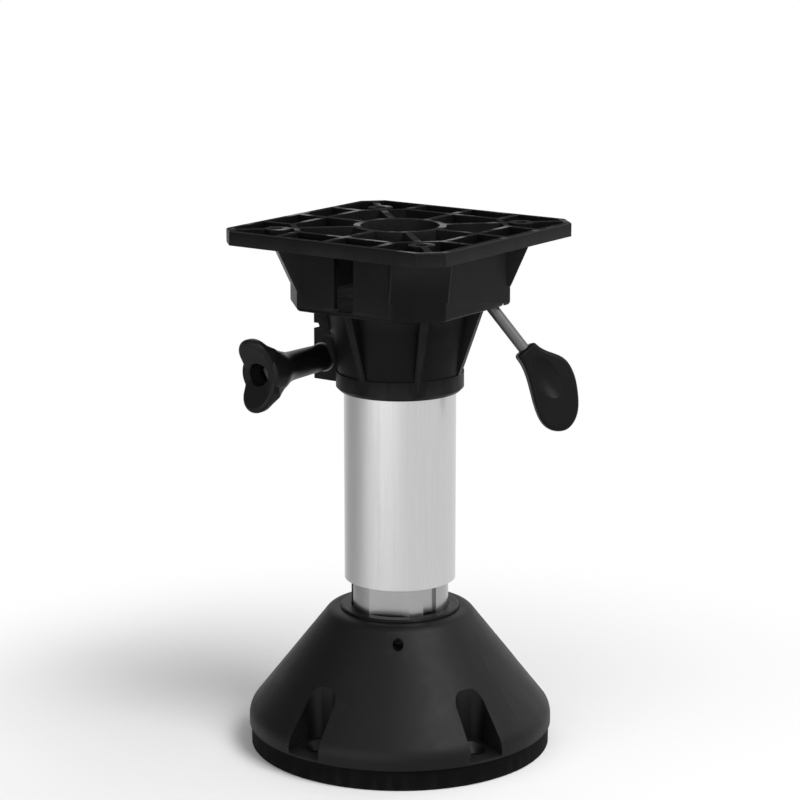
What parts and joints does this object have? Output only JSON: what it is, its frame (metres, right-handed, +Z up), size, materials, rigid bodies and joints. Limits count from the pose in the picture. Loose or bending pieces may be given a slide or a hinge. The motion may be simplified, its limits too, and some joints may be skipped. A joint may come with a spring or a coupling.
{
  "type": "boat seat pedestal",
  "caption": "Height-adjustable boat seat pedestal: conical deck base, telescoping tube with gas spring, swivelling seat plate, clamp knob and height lever.",
  "frame": {"origin": "centre of the deck base's screw circle, on the deck", "axes": "+Z up along the post; -Y towards the seat mount's slotted face and the wing knob; +X towards the lever's side"},
  "size_m": [0.2285, 0.228, 0.3928],
  "materials": {
    "base_plastic": "moulded, satin",
    "mount_plastic": "moulded, satin",
    "bush_plastic": "moulded, smooth",
    "knob_plastic": "moulded, fine texture",
    "grip_plastic": "moulded, satin",
    "bearing_plastic": "machined, smooth",
    "tube_aluminium": "satin anodised",
    "post_aluminium": "extruded, anodised",
    "plug_aluminium": "turned",
    "steel": "zinc plated",
    "black_steel": "black oxide",
    "lever_steel": "satin",
    "rod_chrome": "hard chromed",
    "cylinder_paint": "black paint",
    "rubber": "plain"
  },
  "bodies": {
    "base": {"base_moulding": "base_plastic", "set_screw": "black_steel"},
    "post": {"base_bush": "bush_plastic", "inner_post": "post_aluminium", "end_plate": "plug_aluminium", "end_plate_screws": "steel", "piston_rod": "rod_chrome", "rod_washer": "steel", "rod_clip": "steel", "piston": "bearing_plastic", "upper_guide": "bearing_plastic", "bump_stop": "rubber"},
    "carriage": {"gas_cylinder": "cylinder_paint", "rod_gland": "bearing_plastic", "lower_guide": "bearing_plastic", "outer_tube": "tube_aluminium", "top_plug": "plug_aluminium", "plug_pins": "steel", "thrust_washer": "bearing_plastic", "retaining_washer": "steel", "circlip": "steel"},
    "button": {"release_button": "steel"},
    "mount": {"seat_plate": "mount_plastic", "seat_box": "mount_plastic", "seat_collar": "mount_plastic", "swivel_liner": "bearing_plastic", "lever_pin": "steel", "lever_pin_clips": "steel", "clamp_nut": "steel"},
    "clamp_washer": {"knob_washer": "steel"},
    "knob": {"wing_knob": "knob_plastic", "clamp_bolt": "steel"},
    "lever": {"lever_rod": "lever_steel", "lever_paddle": "grip_plastic"}
  },
  "joints": [
    {"name": "post_lift", "type": "slide", "parent": "base", "child": "post", "axis": [0, 0, 1], "range_m": [0, 0.138]},
    {"name": "height_slide", "type": "slide", "parent": "post", "child": "carriage", "axis": [0, 0, 1], "range_m": [0, 0.12]},
    {"name": "seat_swivel", "type": "hinge", "parent": "carriage", "child": "mount", "pos_m": [0, 0, 0.33], "axis": [0, 0, 1], "continuous": true},
    {"name": "button_press", "type": "slide", "parent": "carriage", "child": "button", "axis": [0, 0, 1], "range_m": [-0.0031, 0]},
    {"name": "lever_pivot", "type": "hinge", "parent": "mount", "child": "lever", "pos_m": [0.03291, 0.019, 0.35465], "axis": [0.5, -0.866, 0], "range_deg": [0, 4.5], "stiffness_Nm_per_rad": 1, "springref_deg": -2.86},
    {"name": "knob_advance", "type": "slide", "parent": "mount", "child": "clamp_washer", "axis": [0, -1, 0], "range_m": [0, 0.0025]},
    {"name": "knob_turn", "type": "hinge", "parent": "clamp_washer", "child": "knob", "pos_m": [-0.058, 0, 0.2908], "axis": [0, -1, 0], "range_deg": [0, 720.5]}
  ],
  "couplings": [
    {"joint": "button_press", "follows": "lever_pivot", "m_per_rad": -0.038},
    {"joint": "knob_turn", "follows": "knob_advance", "rad_per_m": 5026.5}
  ]
}
